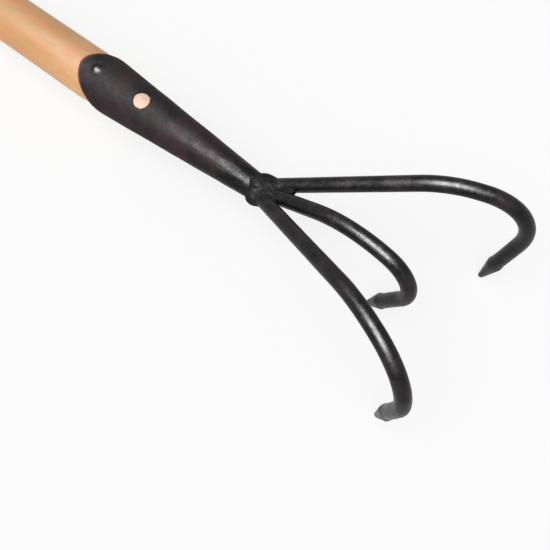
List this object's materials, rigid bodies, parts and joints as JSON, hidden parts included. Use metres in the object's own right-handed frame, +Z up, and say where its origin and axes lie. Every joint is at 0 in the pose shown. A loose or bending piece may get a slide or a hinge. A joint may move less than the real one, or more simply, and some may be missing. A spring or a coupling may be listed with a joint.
{
  "type": "garden cultivator",
  "caption": "Long-handled hand cultivator: a round ash handle in a conical black steel socket, with round-rod tines that splay, arch over and hook down to forged points.",
  "frame": {"origin": "on the floor, below the middle of the whole tool's box, as it lies at rest on its points and its butt", "axes": "+X along the tool from the handle's butt towards the tines, +Y to its left, +Z up from the floor"},
  "size_m": [1.3546, 0.1142, 0.0816],
  "materials": {
    "handle": "varnished ash",
    "socket": "satin black lacquer over forged steel",
    "peg": "bare end grain, sawn flush",
    "nail": "gloss black lacquer",
    "weld": "black lacquer over weld ripples",
    "tines": "gloss black lacquer over bent round rod"
  },
  "bodies": {
    "root": {"handle": "handle", "socket": "socket", "cross_peg": "peg", "nail": "nail", "weld_collar": "weld", "left_web_weld": "weld", "right_web_weld": "weld", "left_tine": "tines", "middle_tine": "tines", "right_tine": "tines"}
  },
  "joints": []
}
